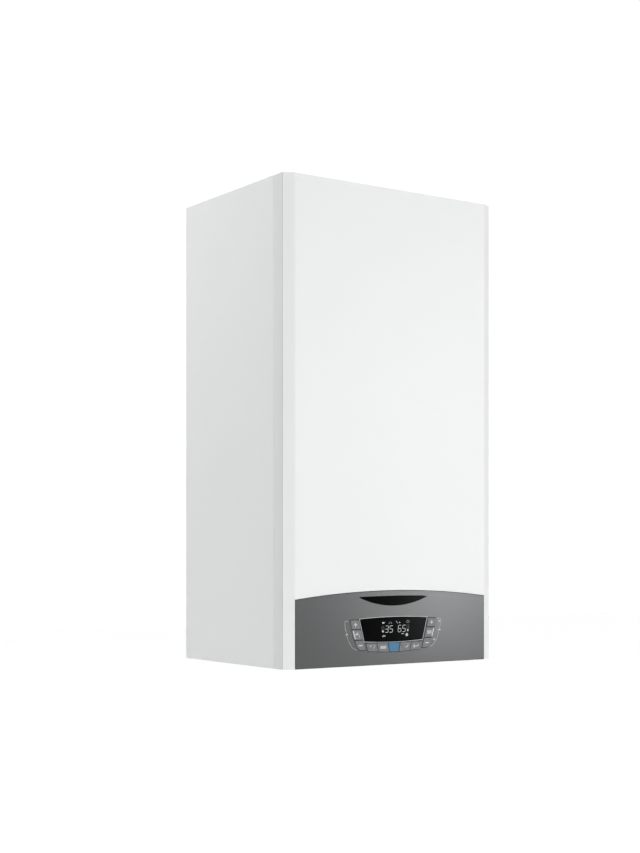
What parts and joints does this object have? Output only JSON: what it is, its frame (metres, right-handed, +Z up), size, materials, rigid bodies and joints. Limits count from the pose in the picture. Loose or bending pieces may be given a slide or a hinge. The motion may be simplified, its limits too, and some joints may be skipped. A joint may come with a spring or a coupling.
{
  "type": "combi boiler",
  "caption": "Wall-hung condensing combi boiler: white sheet-metal casing, grey swing-down control panel with display and keys, and a full set of inner components.",
  "frame": {"origin": "centre of the wall bracket's rear face, on the wall plane", "axes": "+Z up, front of the boiler towards -Y, +Y into the wall, +X to the right seen from the front"},
  "size_m": [0.4, 0.3204, 0.758],
  "materials": {
    "white_enamel": "satin white powder coat",
    "galvanised": "galvanised sheet",
    "panel_grey": "satin metallic grey moulding",
    "key_grey": "satin grey keys",
    "key_blue": "satin blue key",
    "gloss_black": "glossy black",
    "black_plastic": "moulded black plastic",
    "grey_plastic": "moulded grey plastic",
    "circuit_green": "printed circuit board",
    "cast_aluminium": "cast aluminium",
    "stainless": "stainless steel",
    "brass": "machined brass",
    "copper": "drawn copper pipe",
    "vessel_red": "red paint",
    "cast_iron": "coated cast iron",
    "knob_red": "moulded red plastic",
    "knob_black": "moulded black plastic",
    "rubber": "matt rubber",
    "ceramic": "glazed ceramic"
  },
  "bodies": {
    "casing": {"wall_bracket": "galvanised", "back_frame": "galvanised", "left_side_panel": "white_enamel", "right_side_panel": "white_enamel", "top_panel": "white_enamel", "bottom_plate": "galvanised", "flue_collar": "black_plastic", "air_intake_cap": "black_plastic", "flue_duct": "grey_plastic", "heat_exchanger_shell": "cast_aluminium", "heat_exchanger_coil": "stainless", "burner_tube": "stainless", "burner_door": "cast_aluminium", "ignition_electrode": "ceramic", "fan_housing": "cast_aluminium", "fan_motor": "black_plastic", "gas_air_mixer": "cast_aluminium", "air_silencer": "black_plastic", "gas_valve": "cast_aluminium", "gas_pipe": "copper", "expansion_vessel": "vessel_red", "vessel_hose": "rubber", "ch_flow_tail": "brass", "ch_return_tail": "brass", "dhw_outlet_tail": "brass", "gas_tail": "brass", "cold_inlet_tail": "brass", "cable_gland": "black_plastic", "plate_heat_exchanger": "stainless", "diverter_valve_body": "black_plastic", "diverter_motor": "grey_plastic", "relief_valve": "brass", "flow_pipe": "copper", "pump_housing": "cast_iron", "pump_motor": "black_plastic", "air_vent": "brass", "return_pipe": "copper", "condensate_trap": "grey_plastic"},
    "front_casing": {"front_casing": "white_enamel"},
    "control_panel": {"control_fascia": "panel_grey", "display_lens": "gloss_black", "fascia_inlay": "gloss_black", "control_box": "black_plastic", "main_board": "circuit_green"},
    "key_left_plus": {"key_left_plus": "key_grey"},
    "key_right_plus": {"key_right_plus": "key_grey"},
    "key_left_mode": {"key_left_mode": "key_grey"},
    "key_right_mode": {"key_right_mode": "key_grey"},
    "key_left_minus": {"key_left_minus": "key_grey"},
    "key_right_minus": {"key_right_minus": "key_grey"},
    "key_row_power": {"key_row_power": "key_grey"},
    "key_row_menu": {"key_row_menu": "key_grey"},
    "key_row_centre": {"key_row_centre": "key_blue"},
    "key_row_ok": {"key_row_ok": "key_grey"},
    "key_row_back": {"key_row_back": "key_grey"},
    "fan_impeller": {"fan_impeller": "black_plastic"},
    "pump_impeller": {"pump_impeller": "black_plastic"},
    "diverter_spindle": {"diverter_spindle": "brass"},
    "relief_knob": {"relief_knob": "knob_red"},
    "filling_tap_knob": {"filling_tap_knob": "knob_black"}
  },
  "joints": [
    {"name": "front_casing_lift_off", "type": "slide", "parent": "casing", "child": "front_casing", "axis": [0, -1, 0], "range_m": [0, 0.25]},
    {"name": "control_panel_hinge", "type": "hinge", "parent": "casing", "child": "control_panel", "pos_m": [0, -0.307, -0.672], "axis": [1, 0, 0], "range_deg": [0, 90]},
    {"name": "key_left_plus_press", "type": "slide", "parent": "control_panel", "child": "key_left_plus", "axis": [0, 1, 0], "range_m": [0, 0.0008], "stiffness_N_per_m": 800, "springref_m": -0.0005},
    {"name": "key_right_plus_press", "type": "slide", "parent": "control_panel", "child": "key_right_plus", "axis": [0, 1, 0], "range_m": [0, 0.0008], "stiffness_N_per_m": 800, "springref_m": -0.0005},
    {"name": "key_left_mode_press", "type": "slide", "parent": "control_panel", "child": "key_left_mode", "axis": [0, 1, 0], "range_m": [0, 0.0008], "stiffness_N_per_m": 800, "springref_m": -0.0005},
    {"name": "key_right_mode_press", "type": "slide", "parent": "control_panel", "child": "key_right_mode", "axis": [0, 1, 0], "range_m": [0, 0.0008], "stiffness_N_per_m": 800, "springref_m": -0.0005},
    {"name": "key_left_minus_press", "type": "slide", "parent": "control_panel", "child": "key_left_minus", "axis": [0, 1, 0], "range_m": [0, 0.0008], "stiffness_N_per_m": 800, "springref_m": -0.0005},
    {"name": "key_right_minus_press", "type": "slide", "parent": "control_panel", "child": "key_right_minus", "axis": [0, 1, 0], "range_m": [0, 0.0008], "stiffness_N_per_m": 800, "springref_m": -0.0005},
    {"name": "key_row_power_press", "type": "slide", "parent": "control_panel", "child": "key_row_power", "axis": [0, 1, 0], "range_m": [0, 0.0008], "stiffness_N_per_m": 800, "springref_m": -0.0005},
    {"name": "key_row_menu_press", "type": "slide", "parent": "control_panel", "child": "key_row_menu", "axis": [0, 1, 0], "range_m": [0, 0.0008], "stiffness_N_per_m": 800, "springref_m": -0.0005},
    {"name": "key_row_centre_press", "type": "slide", "parent": "control_panel", "child": "key_row_centre", "axis": [0, 1, 0], "range_m": [0, 0.0008], "stiffness_N_per_m": 800, "springref_m": -0.0005},
    {"name": "key_row_ok_press", "type": "slide", "parent": "control_panel", "child": "key_row_ok", "axis": [0, 1, 0], "range_m": [0, 0.0008], "stiffness_N_per_m": 800, "springref_m": -0.0005},
    {"name": "key_row_back_press", "type": "slide", "parent": "control_panel", "child": "key_row_back", "axis": [0, 1, 0], "range_m": [0, 0.0008], "stiffness_N_per_m": 800, "springref_m": -0.0005},
    {"name": "fan_impeller_spin", "type": "hinge", "parent": "casing", "child": "fan_impeller", "pos_m": [-0.118, -0.27, -0.012], "axis": [0, 1, 0], "continuous": true},
    {"name": "pump_impeller_spin", "type": "hinge", "parent": "casing", "child": "pump_impeller", "pos_m": [0.133, -0.14, -0.56], "axis": [0, 1, 0], "continuous": true},
    {"name": "diverter_spindle_travel", "type": "slide", "parent": "casing", "child": "diverter_spindle", "axis": [0, 0, 1], "range_m": [0, 0.008]},
    {"name": "relief_knob_turn", "type": "hinge", "parent": "casing", "child": "relief_knob", "pos_m": [-0.146, -0.2, -0.618], "axis": [0, -1, 0], "range_deg": [0, 90]},
    {"name": "filling_tap_turn", "type": "hinge", "parent": "casing", "child": "filling_tap_knob", "pos_m": [0.1, -0.15, -0.672], "axis": [0, 0, 1], "range_deg": [0, 90]}
  ]
}
